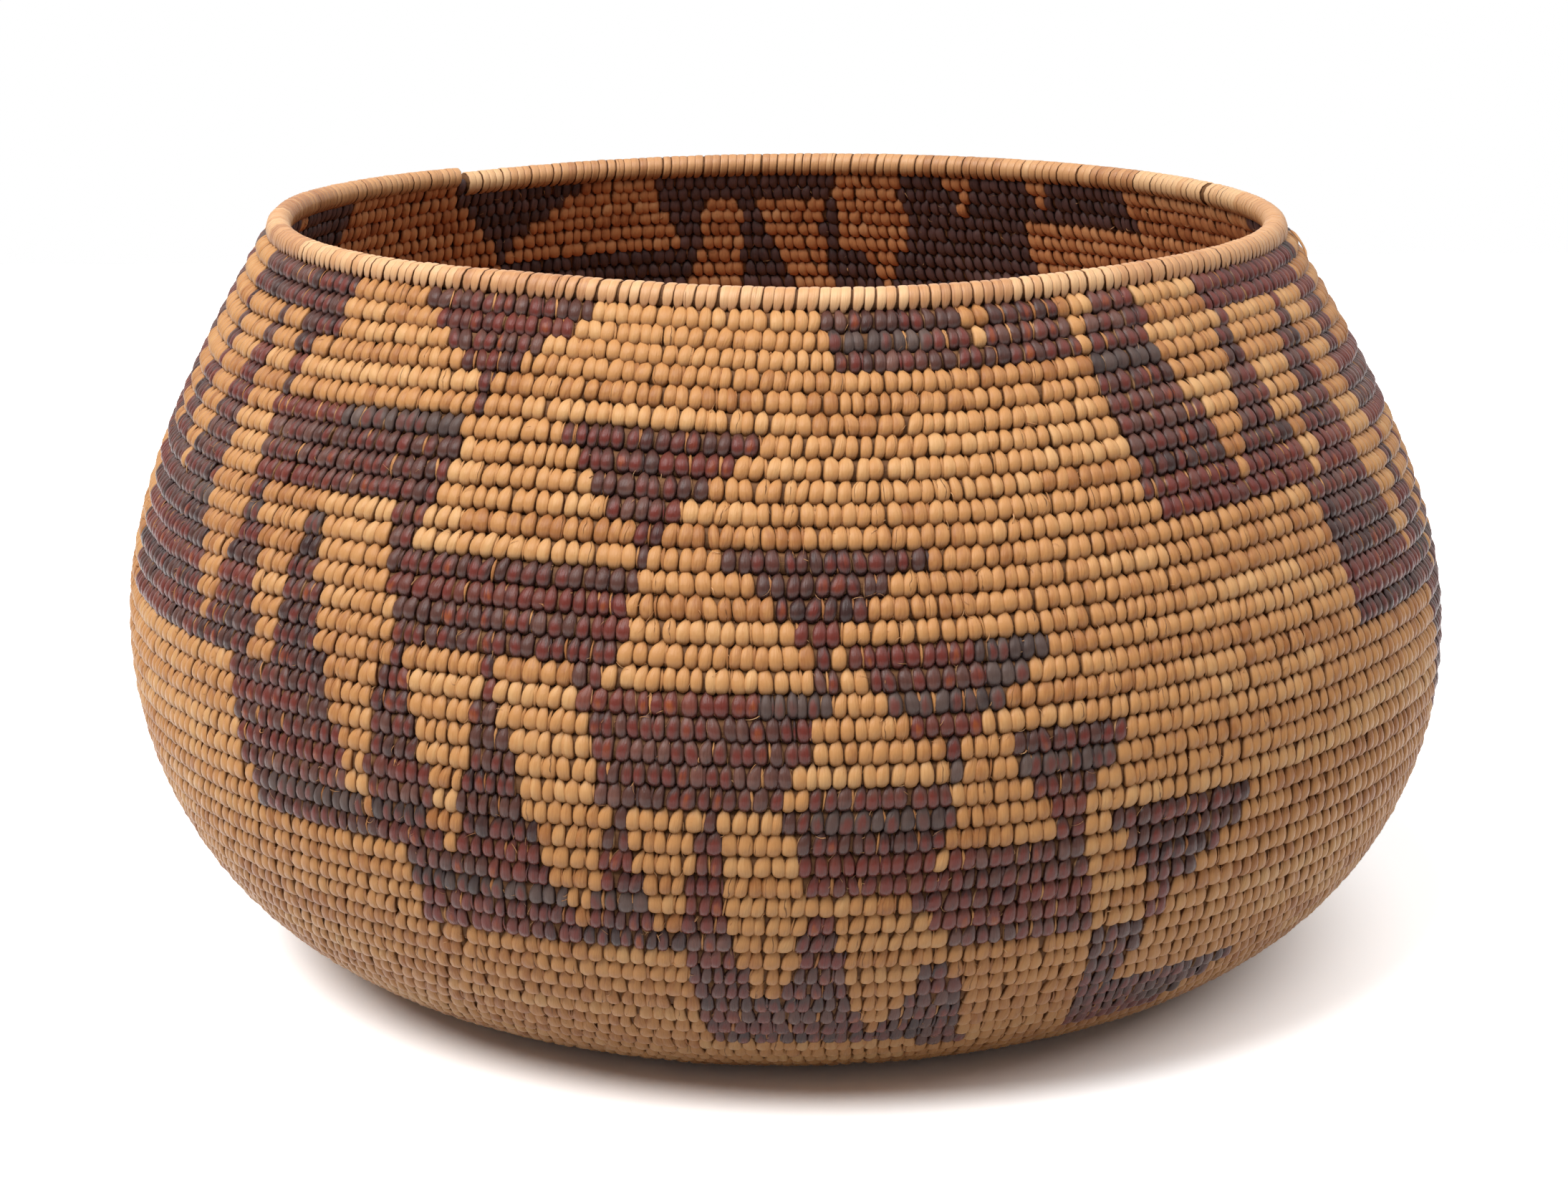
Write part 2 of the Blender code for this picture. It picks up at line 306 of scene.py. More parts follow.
# The figures, in steps: the first and last row, then the left and right edge at the first and at the last, in
# degrees. An upright bar has the same edges all the way, which are given once. A row is a turn counted down
# from the rim.
MAIN_FIGURES = (
    (1, 4, 234.7, 253, 240, 246.7), (5, 6, 242, 244, 242.3, 243.5), (7, 10, 251.3, 268.7, 256.7, 262.3),
    (11, 12, 258.5, 260.7, 259, 260.2), (12, 15, 266, 280.7, 271, 274.7),
    (16, 17, 272, 273.7, 272.4, 273.7), (16, 19, 275, 289.7, 279.3, 284.3),
    (20, 21, 281, 283, 281.2, 282.5), (20, 22, 286, 295.7, 288, 293.3), (23, 24, 289.7, 292, 290.2, 291.5),
    (24, 27, 294.7, 307.7, 298.3, 303), (28, 29, 299, 301, 299, 300.2), (7, 10, 217.5, 242.5, 218.7, 241),
    (13, 16, 238, 259.3, 238.8, 257.9), (18, 22, 255.2, 273, 256.5, 269.7), (22, 22, 271.7, 281.7),
    (23, 25, 269.7, 282, 270.9, 280.7), (26, 26, 271.3, 292), (25, 25, 281.5, 291.7),
    (27, 29, 279.3, 292.7, 281.7, 293.7), (30, 33, 293.7, 299.3, 295, 298.3),
    (34, 37, 295.3, 313.3, 295.7, 307), (11, 17, 219.3, 220.5, 216.7, 224.3),
    (11, 18, 228, 229, 226.3, 232.3), (11, 12, 237, 240.5, 236.7, 239.7),
    (19, 24, 220.9, 232.9, 223.2, 236), (25, 25, 223.7, 243), (17, 21, 239, 240.3, 237.2, 242),
    (22, 24, 236.9, 242.7), (17, 25, 247.3, 248.2, 244.7, 251.7), (17, 17, 255, 256.9),
    (26, 28, 240.1, 252.1, 240.3, 253.5), (29, 29, 240.3, 260.3), (23, 28, 256.9, 257.9, 254.7, 259.7),
    (23, 28, 263.5, 265.2, 262.2, 265.6), (29, 33, 261.3, 265.7, 262, 267.3),
    (34, 35, 262.3, 276, 262.7, 276), (27, 31, 271.6, 272.5, 269.7, 274),
    (32, 34, 269, 274.3, 266.3, 275.3), (31, 35, 280, 282.5, 277.3, 284.7), (36, 36, 263, 285),
    (37, 37, 281.7, 286),
)
UPPER_FIGURES = (
    (1, 2, 200, 223.8, 200.2, 223.4), (3, 6, 200.6, 202.3, 200.2, 202.4), (3, 6, 211, 212.4, 208.8, 212.4),
    (3, 3, 217, 223), (4, 6, 217.5, 221, 217.7, 219.5), (7, 10, 197.5, 202, 194.5, 200.6),
    (7, 11, 208, 212.3, 204, 212), (11, 11, 182, 202), (12, 12, 190, 212.3),
    (13, 17, 193, 212.5, 195, 215.5), (18, 18, 196.5, 223.3),
)
UPPER_FIGURES_RIGHT = (
    (1, 2, 316.7, 347, 316.7, 341), (3, 8, 317.3, 318.9, 314.3, 320.3), (3, 8, 329.3, 331.3, 325, 331.7),
    (3, 6, 338, 347, 337.5, 341), (7, 8, 338, 360, 338.5, 360), (9, 10, 340, 362, 341.5, 361),
    (9, 10, 313.5, 322.1, 313, 322.3), (9, 11, 324.6, 331.7, 323.7, 332.3), (11, 11, 301.7, 322),
    (12, 16, 320.3, 332.7, 321.8, 335.7), (12, 16, 339.5, 341, 337, 345), (17, 18, 322.5, 343, 323, 345),
    (4, 10, 57.5, 73.4, 58.8, 76.5),
)
LEADING_FIGURES = (
    (1, 1, 274.7, 288), (2, 2, 275, 288), (1, 1, 290.3, 298), (2, 2, 289.5, 299),
    (1, 2, 301.7, 308, 301, 308.2), (3, 3, 275, 299.3), (3, 6, 300.5, 307.7, 300, 309),
    (4, 6, 299, 302, 300, 302), (7, 10, 300.3, 310, 301.3, 312),
)
# How far round the basket each set of figures is repeated, in degrees. The second band has no upper ones.
REPEATED_FIGURES = (
    (MAIN_FIGURES, (0, 120, 242)),
    (UPPER_FIGURES, (0, 242)),
    (UPPER_FIGURES_RIGHT, (0,)),
    (LEADING_FIGURES, (-120, 0, 125.5)),
)
FRONT_ANGLE = 270
FRONT_SPREAD = 0.85  # degrees that figures are drawn apart by, either side of the front


def in_figures(figures, row, angle, shift):
    """Whether a stitch in this row, at this angle in degrees, belongs to one of the figures."""
    inside = np.zeros(len(row), bool)
    for first, last, left, right, *last_edges in figures:
        last_left, last_right = last_edges or (left, right)
        share = (row - first) / max(last - first, 1)
        start = left + (last_left - left) * share + shift
        end = right + (last_right - right) * share + shift
        within = (angle - start) % 360 <= end - start
        inside |= (row >= first) & (row <= last) & within
    return inside


def is_dark(turn):
    """Whether the stitch at a turn is sewn in dark strand."""
    row = np.floor(turn)
    angle = degrees_at(turn)
    away = away_from(angle, FRONT_ANGLE)
    angle = angle - np.where(np.abs(away) < 90, FRONT_SPREAD * np.sin(2 * np.radians(away)), 0)
    dark = np.zeros(len(turn), bool)
    for figures, shifts in REPEATED_FIGURES:
        for shift in shifts:
            dark |= in_figures(figures, row, angle, shift)
    return dark


# Shapes of a stitch from its foot to its top: up the wall and out of it as shares of the pitch, then its left
# and its right edge as shares of its width
OUTSIDE_SHARES = (
    (-0.60, -0.55, -0.44, -0.28, -0.08, 0.12, 0.30, 0.45, 0.57, 0.67),
    (0.16, 0.30, 0.45, 0.54, 0.565, 0.53, 0.455, 0.365, 0.285, 0.20),
    (-0.14, -0.32, -0.465, -0.52, -0.53, -0.51, -0.435, -0.29, -0.13, 0.00),
    (0.03, 0.21, 0.40, 0.50, 0.53, 0.52, 0.475, 0.37, 0.25, 0.14),
)
INSIDE_SHARES = (
    (-0.58, -0.44, -0.22, 0.02, 0.26, 0.46, 0.56),
    (0.26, 0.43, 0.52, 0.53, 0.48, 0.37, 0.24),
    (-0.40, -0.49, -0.51, -0.50, -0.46, -0.26, -0.02),
    (-0.06, 0.26, 0.45, 0.50, 0.51, 0.44, 0.24),
)
SLIVER_SHARES = (
    (-0.54, -0.34, -0.10, 0.14, 0.36, 0.54),
    (0.26, 0.40, 0.465, 0.455, 0.37, 0.22),
    (-0.03, -0.09, -0.13, -0.13, -0.09, -0.02),
    (0.03, 0.09, 0.13, 0.13, 0.09, 0.02),
)
# Across a stitch: places from its left edge to its right one and back below, how far each lies under the top
# as a share of the crown's height, and that height as a share of the pitch
WIDE_SHARES = ((-1, -0.90, -0.55, 0.0, 0.55, 0.90, 1, 0.0), (1, 0.44, 0.11, 0.0, 0.11, 0.44, 1, 1.5), 0.235)
PLAIN_SHARES = ((-1, -0.62, 0.0, 0.62, 1, 0.0), (1, 0.30, 0.0, 0.30, 1, 1.5), 0.14)
FULL_CROWN_HALF_SHARE = 0.4  # half the width, as a share of the spacing, that a full crown needs

# How much stitches differ: in slant, height, plumpness, how far they stand out, bow, place up the wall, and
# how far their tip bends
STITCH_SPREAD_SHARES = (0.09, 0.035, 0.09, 0.014, 0.05, 0.02, 0.08)
# Where up a stitch its tip starts to bend, over what length, and how sharply
TIP_BEND_START_SHARE = 0.05
TIP_BEND_LENGTH_SHARE = 0.6
TIP_BEND_POWER = 1.3


def stitches_on(turn, width, side, shape, section, rng):
    """Vertices of many stitches: (stitch, ring, corner, xyz), and how far along the stitch each ring lies."""
    up_shares, out_shares, left_shares, right_shares = (np.array(shares) for shares in shape)
    across, under, crown_share = (np.array(values) for values in section)
    turn, width = turn[:, None], width[:, None]
    slant, tall, plump, raised, bow, rise, tip = (
        rng.normal(0, spread, turn.shape) for spread in STITCH_SPREAD_SHARES
    )
    along = np.linspace(0, 1, len(up_shares))
    up = up_shares * (1 + tall) + rise
    out = COIL_PITCH * (out_shares + raised)
    lean = (slant_of(turn) + slant) * up + bow * np.sin(along * math.pi)
    bend = np.maximum((up - TIP_BEND_START_SHARE) / TIP_BEND_LENGTH_SHARE, 0) ** TIP_BEND_POWER
    lean = lean + (tip_lean_of(turn) + tip) * bend
    left = left_shares * width + lean * STITCH_SPACING
    right = right_shares * width + lean * STITCH_SPACING
    half = (right - left) / 2
    plump = 1 + plump + waves(turn, PLUMP_SEED, PLUMP_WANDER_SHARE)
    crown = COIL_PITCH * crown_share * plump * np.minimum(half / (FULL_CROWN_HALF_SHARE * STITCH_SPACING), 1)
    place = ((left + right) / 2)[:, :, None] + half[:, :, None] * across
    out = out[:, :, None] - crown[:, :, None] * under
    points = on_wall(turn[:, :, None], place, COIL_PITCH * up[:, :, None], side * out)
    return points, along


def added_object(name, data):
    """A new object with this data, put in the scene."""
    piece = bpy.data.objects.new(name, data)
    bpy.context.scene.collection.objects.link(piece)
    return piece


def strand_faces(count, rings, corners):
    """Corner lists of the quads along each strand and of the two caps at its ends."""
    ring = np.arange(rings - 1)[:, None]
    corner = np.arange(corners)[None, :]
    following = (corner + 1) % corners
    here = ring * corners
    above = here + corners
    quads = np.stack([here + corner, here + following, above + following, above + corner], axis=-1)
    quads = quads.reshape(-1, 4)
    start = np.arange(count) * rings * corners
    quads = (start[:, None, None] + quads[None]).reshape(-1, 4)
    foot = start[:, None] + np.arange(corners)[None, ::-1]
    top = start[:, None] + (rings - 1) * corners + np.arange(corners)[None]
    return quads, foot, top


def write_vectors(mesh, name, values):
    """A vector for each vertex, under a name that materials read."""
    layer = mesh.attributes.new(name, "FLOAT_VECTOR", "POINT")
    layer.data.foreach_set("vector", np.ascontiguousarray(values, np.float32).ravel())


MAP_MARGIN_SHARE = 0.06  # of a cell of the map, all round it


def write_bake_map(mesh, loops, quad_count, count, rings, corners):
    """A cell of the map for each strand, with its length up the cell and its girth across it."""
    columns = math.ceil(math.sqrt(count))
    strand, rest = np.divmod(loops, rings * corners)
    ring, corner = np.divmod(rest, corners)
    quads = np.arange(len(loops)) < 4 * quad_count
    position = np.arange(len(loops)) % 4
    closing = (position == 1) | (position == 2)
    column = np.where(quads & closing & (corner == 0), corners, corner)
    across = MAP_MARGIN_SHARE + (1 - 2 * MAP_MARGIN_SHARE) * column / corners
    upward = MAP_MARGIN_SHARE + (1 - 2 * MAP_MARGIN_SHARE) * ring / (rings - 1)
    layer = mesh.uv_layers.new(name="OFBake")
    uv = np.stack([(strand % columns + across) / columns, (strand // columns + upward) / columns], axis=-1)
    layer.data.foreach_set("uv", uv.astype(np.float32).ravel())


def strand_piece(name, points, along, tint, wear, look, across=None, flip=False):
    """One object made of many closed strands, with each vertex's place in its strand and its tint."""
    count, rings, corners = points.shape[:3]
    quads, foot, top = strand_faces(count, rings, corners)
    if flip:
        quads, foot, top = quads[:, ::-1], foot[:, ::-1], top[:, ::-1]
    loops = np.concatenate([quads.ravel(), foot.ravel(), top.ravel()])
    sizes = np.concatenate([np.full(len(quads), 4), np.full(2 * count, corners)])
    starts = np.concatenate([[0], np.cumsum(sizes)[:-1]])
    mesh = bpy.data.meshes.new(name)
    mesh.vertices.add(count * rings * corners)
    mesh.vertices.foreach_set("co", points.astype(np.float32).ravel())
    mesh.loops.add(len(loops))
    mesh.loops.foreach_set("vertex_index", loops.astype(np.int32))
    mesh.polygons.add(len(sizes))
    mesh.polygons.foreach_set("loop_start", starts.astype(np.int32))
    if across is None:
        across = np.linspace(-1, 1, corners)
    grid = (count, rings, corners)
    place = np.empty((*grid, 3))
    place[..., 0] = across
    place[..., 1] = along[:, None]
    place[..., 2] = wear[:, None, None]
    write_vectors(mesh, "place_in_strand", place)
    write_vectors(mesh, "strand_tint", np.broadcast_to(tint[:, None, None, :], (*grid, 3)))
    write_bake_map(mesh, loops, len(quads), count, rings, corners)
    mesh.update(calc_edges=True)
    mesh.shade_smooth()
    mesh.materials.append(look)
    piece = added_object(name, mesh)
    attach(piece, "root")
    return piece


def run_values(count, rng, shortest, longest):
    """A value for each stitch that stays the same along one strand of sewing, then changes."""
    values = np.empty(count)
    start = 0
    while start < count:
        end = start + int(rng.integers(shortest, longest))
        values[start:end] = rng.uniform(0, 1)
        start = end
    return values


TINT_RUN = (6, 22)  # the fewest stitches of one tone, and what it stays under
TINT_SPREAD = 0.1


def tints(count, rng, middle, spread):
    """Tone, edge and seed of each stitch. The tone changes with each strand and a little in between."""
    tone = middle + spread * (run_values(count, rng, *TINT_RUN) - 0.5) + rng.normal(0, TINT_SPREAD, count)
    return np.stack([tone, rng.uniform(-1, 1, count), rng.uniform(0, 1, count)], axis=-1)


# The foundation under the stitches, with a flattened section
FOUNDATION_OUT = 1.62 * MM  # half its thickness
FOUNDATION_UP = 2.45 * MM  # half its height
FOUNDATION_STEP_SHARE = 1.1  # of the stitches' spacing
FOUNDATION_END_TURN = 0.02  # how far it stops short of the coil's end
RIM_FOUNDATION_SHARE = 0.84  # of the rim coil's radius
RODS = 3
ROD_RIPPLE_SHARE = 0.05
ROD_TWIST = 397  # radians that the ripples run on by in a turn
FOUNDATION_GRAIN = 60  # lengths of grain in a turn


def foundations(look):
    """The foundation: a spiral of rods, in stretches that end where those of the coil do."""
    sides = 10
    around = np.arange(sides) * FULL_TURN / sides
    step = FOUNDATION_STEP_SHARE * STITCH_SPACING / (FULL_TURN * RIM_RADIUS)
    names = ("rim", *ZONES)
    tops = (FOUNDATION_END_TURN, *ZONE_TURNS)
    for number, (zone, top, bottom) in enumerate(zip(names, tops, ZONE_TURNS)):
        turn = np.arange(top, min(bottom, LAST_TURN + KNOT_TURNS), step)
        rods = 1 + ROD_RIPPLE_SHARE * np.sin(turn[:, None] * ROD_TWIST + around[None] * RODS)
        if zone == "rim":
            points = on_rim(turn[:, None], 0, around[None], RIM_FOUNDATION_SHARE * RIM_COIL_RADIUS * rods)
        else:
            up = FOUNDATION_UP * rods * np.sin(around)[None]
            out = FOUNDATION_OUT * rods * np.cos(around)[None]
            points = on_wall(turn[:, None], 0, up, out)
        along = turn * FOUNDATION_GRAIN
        tint = np.array([[0.5, 0.0, number / len(names)]])
        name = f"{zone}_foundation"
        strand_piece(name, points[None], along, tint, np.ones(1), look, flip=True)


# A wrap of strand from its foot outside, over the rim, to its foot inside: the angle from straight out of the
# wall, the distance as a share of the rim coil's radius, and the half width as a share of the wrap's width
WRAP_ANGLES = (-80, -66, -50, -30, 0, 35, 70, 105, 140, 175, 205, 232, 250)
WRAP_REACH_SHARES = (1.22, 1.16, 1.07, 1.01, 1, 1, 1, 1, 1, 1, 1.03, 1.12, 1.20)
WRAP_HALF_SHARES = (0.06, 0.24, 0.42, 0.50, 0.52, 0.53, 0.53, 0.53, 0.52, 0.51, 0.48, 0.36, 0.15)
WRAP_CROWN_SHARE = 0.105  # of the rim coil's radius
WRAP_WIDTH_SHARE = 0.965  # of the wraps' spacing
WRAP_PLACE_SPREAD_SHARE = 0.06
WRAP_SLANT_SHARE = 0.45
WRAP_SPREAD_SHARES = (0.04, 0.03, 0.012)  # in slant, width and reach
WRAP_LEAN_SHARE = 2.2  # how far a wrap with a slant of 1 leans from foot to foot
FIRST_WRAP_TURN = 0.004
LOST_WRAP_TURN = 0.688
LOST_WRAP_SHARE = 0.6  # of the spacing, either side of the lost wrap's place


def rim_wraps(look):
    """The strand wrapped right over the last turn, from the row below outside to the same row inside."""
    rng = np.random.default_rng(WRAP_SEED)
    spacing = RIM_SPACING / (FULL_TURN * RIM_RADIUS)
    turn = np.arange(FIRST_WRAP_TURN, 1.0, spacing)
    turn = turn + rng.normal(0, WRAP_PLACE_SPREAD_SHARE * spacing, len(turn))
    turn = turn[np.abs(turn - LOST_WRAP_TURN) > LOST_WRAP_SHARE * spacing]
    count = len(turn)
    across, under, _ = WIDE_SHARES
    around = np.radians(WRAP_ANGLES)
    along = np.linspace(0, 1, len(around))
    lean = np.linspace(-0.5, 0.5, len(around)) * WRAP_LEAN_SHARE
    slant, wide, stretch = (rng.normal(0, spread, (count, 1)) for spread in WRAP_SPREAD_SHARES)
    slant = WRAP_SLANT_SHARE + waves(turn[:, None], SLANT_SEED, SLANT_WANDER_SHARE) + slant
    reach = (WRAP_REACH_SHARES * (1 + stretch))[:, :, None]
    reach = RIM_COIL_RADIUS * (reach - WRAP_CROWN_SHARE * np.array(under))
    half = WRAP_HALF_SHARES * (RIM_SPACING * (WRAP_WIDTH_SHARE + wide))
    right = (slant * lean * RIM_SPACING)[:, :, None] + half[:, :, None] * np.array(across)
    points = on_rim(turn[:, None, None], right, around[None, :, None], reach)
    tint = tints(count, rng, middle=0.58, spread=0.9)
    wear = rng.uniform(0, 1, count)
    return strand_piece("rim_wraps", points, along, tint, wear, look, across)


# The kinds of strand, by their numbers, and how the sewing goes
STRANDS = ("light", "dark", "reddish", "greyed")
LIGHT, DARK, REDDISH, GREYED = range(4)
REDDISH_BELOW = 0.3  # of a strand's random value from 0 to 1
GREYED_ABOVE = 0.95
STRAND_RUN = (9, 30)  # the fewest stitches in one kind of dark strand, and what it stays under
LIGHT_WIDTH_SHARE = 1.03  # of the gap between its neighbours
DARK_WIDTH_SHARE = 0.95
INSIDE_WIDTH_SHARE = 1.04  # of the same stitch outside
WIDTH_SPREAD_SHARE = 0.06
LEAST_WIDTH_SHARE = 0.55  # of the stitches' spacing
MOST_WIDTH_SHARE = 1.3
MOST_STITCHES = 1200  # in one piece

# Split slivers of strand beside some stitches
SLIVER_SHARE = 0.34  # of all stitches
RIGHT_SLIVER_SHARE = 0.7  # of the slivers
SLIVER_PLACE_SHARE = 0.52  # of the gap
SLIVER_WIDTH_SHARES = (0.6, 1.5)
LIGHT_SLIVER_SHARE = 0.5  # those that are light whatever they lie beside
SLIVER_TONE = -0.25  # how much deeper they are than their stitch


class Stitches(namedtuple("Stitches", "turn width strand tint wear")):
    """Many stitches: the turn, width, kind of strand, tint and wear of each."""

    def only(self, chosen):
        return Stitches(*(values[chosen] for values in self))


def sewn_stitches(rng, turn, gaps):
    """The stitches under the rim, in light strand and, in the figures, in three kinds of dark strand."""
    count = len(turn)
    dark = is_dark(turn)
    width_share = np.where(dark, DARK_WIDTH_SHARE, LIGHT_WIDTH_SHARE)
    width = gaps * (width_share + rng.normal(0, WIDTH_SPREAD_SHARE, count))
    width = np.clip(width, LEAST_WIDTH_SHARE * STITCH_SPACING, MOST_WIDTH_SHARE * STITCH_SPACING)
    kind = run_values(count, rng, *STRAND_RUN)
    dark_kind = np.where(kind < REDDISH_BELOW, REDDISH, np.where(kind > GREYED_ABOVE, GREYED, DARK))
    strand = np.where(dark, dark_kind, LIGHT)
    tint = tints(count, rng, middle=0.5, spread=0.6)
    wear = rng.uniform(0, 1, count)
    return Stitches(turn, width, strand, tint, wear)


def slivers_beside(rng, stitches, gaps, radius):
    """The split slivers beside some of these stitches."""
    count = len(gaps)
    split = rng.uniform(0, 1, count) < SLIVER_SHARE
    to_the_right = rng.uniform(0, 1, count) < RIGHT_SLIVER_SHARE
    beside = np.where(to_the_right, SLIVER_PLACE_SHARE, -SLIVER_PLACE_SHARE)
    turn = stitches.turn + beside * gaps / (FULL_TURN * radius)
    width = rng.uniform(*SLIVER_WIDTH_SHARES, count) * STITCH_SPACING
    strand = np.where(rng.uniform(0, 1, count) < LIGHT_SLIVER_SHARE, LIGHT, stitches.strand)
    tint = stitches.tint + np.array([SLIVER_TONE, 0, 0])
    return Stitches(turn, width, strand, tint, stitches.wear).only(split)


def stitch_pieces(looks, inside_looks):
    """All the stitches under the rim and their slivers, by stretch, side and strand.

    It gives each stretch's first piece, and the stitches' turns."""
    rng = np.random.default_rng(STITCH_SEED)
    turn = layout()
    radius = PROFILE.at(distance_of(turn))[0]
    gaps = np.abs(np.gradient(turn)) * FULL_TURN * radius
    outside = sewn_stitches(rng, turn, gaps)
    inside = outside._replace(width=INSIDE_WIDTH_SHARE * outside.width)
    slivers = slivers_beside(rng, outside, gaps, radius)
    kinds = (
        ("outside", 1, OUTSIDE_SHARES, WIDE_SHARES, outside),
        ("inside", -1, INSIDE_SHARES, PLAIN_SHARES, inside),
        ("slivers", 1, SLIVER_SHARES, PLAIN_SHARES, slivers),
    )
    firsts = {}
    for zone, top, bottom in zip(ZONES, ZONE_TURNS, ZONE_TURNS[1:]):
        for word, side, shape, section, stitches in kinds:
            in_zone = (stitches.turn >= top) & (stitches.turn < bottom)
            for number, colour in enumerate(STRANDS):
                look = looks[number] if side > 0 else inside_looks[number]
                chosen = np.flatnonzero(in_zone & (stitches.strand == number))
                for part, start in enumerate(range(0, len(chosen), MOST_STITCHES)):
                    some = stitches.only(chosen[start:start + MOST_STITCHES])
                    name = f"{zone}_{colour}_{word}_{part + 1}"
                    points, along = stitches_on(some.turn, some.width, side, shape, section, rng)
                    piece = strand_piece(
                        name, points, along, some.tint, some.wear, look, section[0], flip=side < 0
                    )
                    firsts.setdefault(zone, piece)
    return firsts, turn


# The frayed fibres: how many, and how far down the inside they go
FIBRES = 6000
VISIBLE_INSIDE_TURNS = 9
FIBRE_INSIDE_SHARE = 0.7  # of the fibres on those turns
FIBRE_LENGTHS = (0.5, 2.4)  # raised to the power below, and then in millimetres
FIBRE_LENGTH_POWER = 1.3
# The ways that they point, in radians from the right towards up, and the share of the fibres that each has
FIBRE_HEADINGS = (1.4, 4.5, 0.2, 3.3)
FIBRE_HEADING_SHARES = (0.4, 0.3, 0.15, 0.15)
FIBRE_HEADING_SPREAD = 0.5
FIBRE_CURL_SPREAD = 0.45
FIBRE_RISE = 0.8 * MM  # how far they stand out of the wall at most
FIBRE_RISE_BEND = 2.6  # radians of the arc that they stand out in
FIBRE_GIRTHS = (0.04, 0.10)  # half their thickness, in millimetres
THICK_FIBRE_SHARE = 0.12
THICK_FIBRE_SCALE = 2.2
FIBRE_TAPER_SHARE = 0.75
FIBRE_UP_SHARE = 0.42  # of the pitch, up or down from the coil's middle line
FIBRE_OUT_SHARE = 0.40


def fibres(turn, look):
    """Short frayed fibres that stand out of the gaps between the stitches."""
    rng = np.random.default_rng(FIBRE_SEED)
    turn = rng.choice(turn, FIBRES)
    inside = (turn < VISIBLE_INSIDE_TURNS) & (rng.uniform(0, 1, FIBRES) < FIBRE_INSIDE_SHARE)
    rings, sides = 5, 4
    along = np.linspace(0, 1, rings)
    around = np.arange(sides) * FULL_TURN / sides
    length = rng.uniform(*FIBRE_LENGTHS, FIBRES) ** FIBRE_LENGTH_POWER * MM
    heading = rng.choice(FIBRE_HEADINGS, FIBRES, p=FIBRE_HEADING_SHARES)
    heading = heading + rng.normal(0, FIBRE_HEADING_SPREAD, FIBRES)
    curl = rng.normal(0, FIBRE_CURL_SPREAD, FIBRES)
    rise = rng.uniform(0, 1, FIBRES) * FIBRE_RISE
    girth = rng.uniform(*FIBRE_GIRTHS, FIBRES)
    girth = girth * np.where(rng.uniform(0, 1, FIBRES) < THICK_FIBRE_SHARE, THICK_FIBRE_SCALE, 1) * MM
    start = rng.uniform(-FIBRE_UP_SHARE, FIBRE_UP_SHARE, FIBRES) * COIL_PITCH
    bend = heading[:, None] + curl[:, None] * along
    right = 0.5 * STITCH_SPACING + length[:, None] * along * np.cos(bend)
    up = start[:, None] + length[:, None] * along * np.sin(bend)
    out = FIBRE_OUT_SHARE * COIL_PITCH + rise[:, None] * np.sin(along * FIBRE_RISE_BEND)
    thick = girth[:, None] * (1 - FIBRE_TAPER_SHARE * along)
    right = right[:, :, None] - (thick * np.sin(bend))[:, :, None] * np.cos(around)
    up = up[:, :, None] + (thick * np.cos(bend))[:, :, None] * np.cos(around)
    out = out[:, :, None] + thick[:, :, None] * np.sin(around)
    tint = tints(FIBRES, rng, middle=0.6, spread=0.6)
    for word, side, some in (("outside", 1, ~inside), ("inside", -1, inside)):
        points = on_wall(turn[some, None, None], right[some], up[some], side * out[some])
        name = f"frayed_fibres_{word}"
        wear = np.ones(len(points))
        strand_piece(name, points, along, tint[some], wear, look, flip=side < 0)


# The torn end of strand: where it hangs, and from its root to its end how far it lies to the right in
# millimetres, how far up, and its width
LOOSE_STRAND_TURN = 1.607
LOOSE_PLACE_SHARES = (0, 0.3, 0.7, 1)
LOOSE_RIGHT = (1.6, 0.4, -0.6, -3.0)
LOOSE_UP_SHARES = (0.45, 0.15, -0.75, -1.05)
LOOSE_WIDTH_PLACE_SHARES = (0, 0.15, 0.8, 1)
LOOSE_WIDTH_SHARES = (0.5, 1, 0.8, 0.35)
LOOSE_HALF_WIDTH = 0.75 * MM
LOOSE_THICKNESS_SHARE = 0.5
LOOSE_OUT = 2.5 * MM
LOOSE_BULGE = 0.7 * MM
LOOSE_BULGE_BEND = 3.0  # radians of the arc that it bulges in
LOOSE_TINT = (0.7, 0.0, 0.4)


def loose_strand(look):
    """A torn end of strand that hangs from the rim at the right, over the two rows below."""
    rings, sides = 12, 6
    along = np.linspace(0, 1, rings)
    around = np.arange(sides) * FULL_TURN / sides
    right = np.interp(along, LOOSE_PLACE_SHARES, LOOSE_RIGHT) * MM
    up = COIL_PITCH * np.interp(along, LOOSE_PLACE_SHARES, LOOSE_UP_SHARES)
    out = LOOSE_OUT + LOOSE_BULGE * np.sin(along * LOOSE_BULGE_BEND)
    half = LOOSE_HALF_WIDTH * np.interp(along, LOOSE_WIDTH_PLACE_SHARES, LOOSE_WIDTH_SHARES)
    right = right[:, None] + half[:, None] * np.cos(around)
    out = out[:, None] + LOOSE_THICKNESS_SHARE * half[:, None] * np.sin(around)
    points = on_wall(LOOSE_STRAND_TURN, right, up[:, None], out)[None]
    strand_piece("loose_strand", points, along, np.array([LOOSE_TINT]), np.ones(1), look)


# The knot's stitches, in turns from the coil's last stitch inwards
KNOT_FIRST_TURN = 0.03
KNOT_STEP_TURN = 0.09
KNOT_WIDTH_SHARE = 0.8
KNOT_WIDTH_SPREAD_SHARE = 0.08


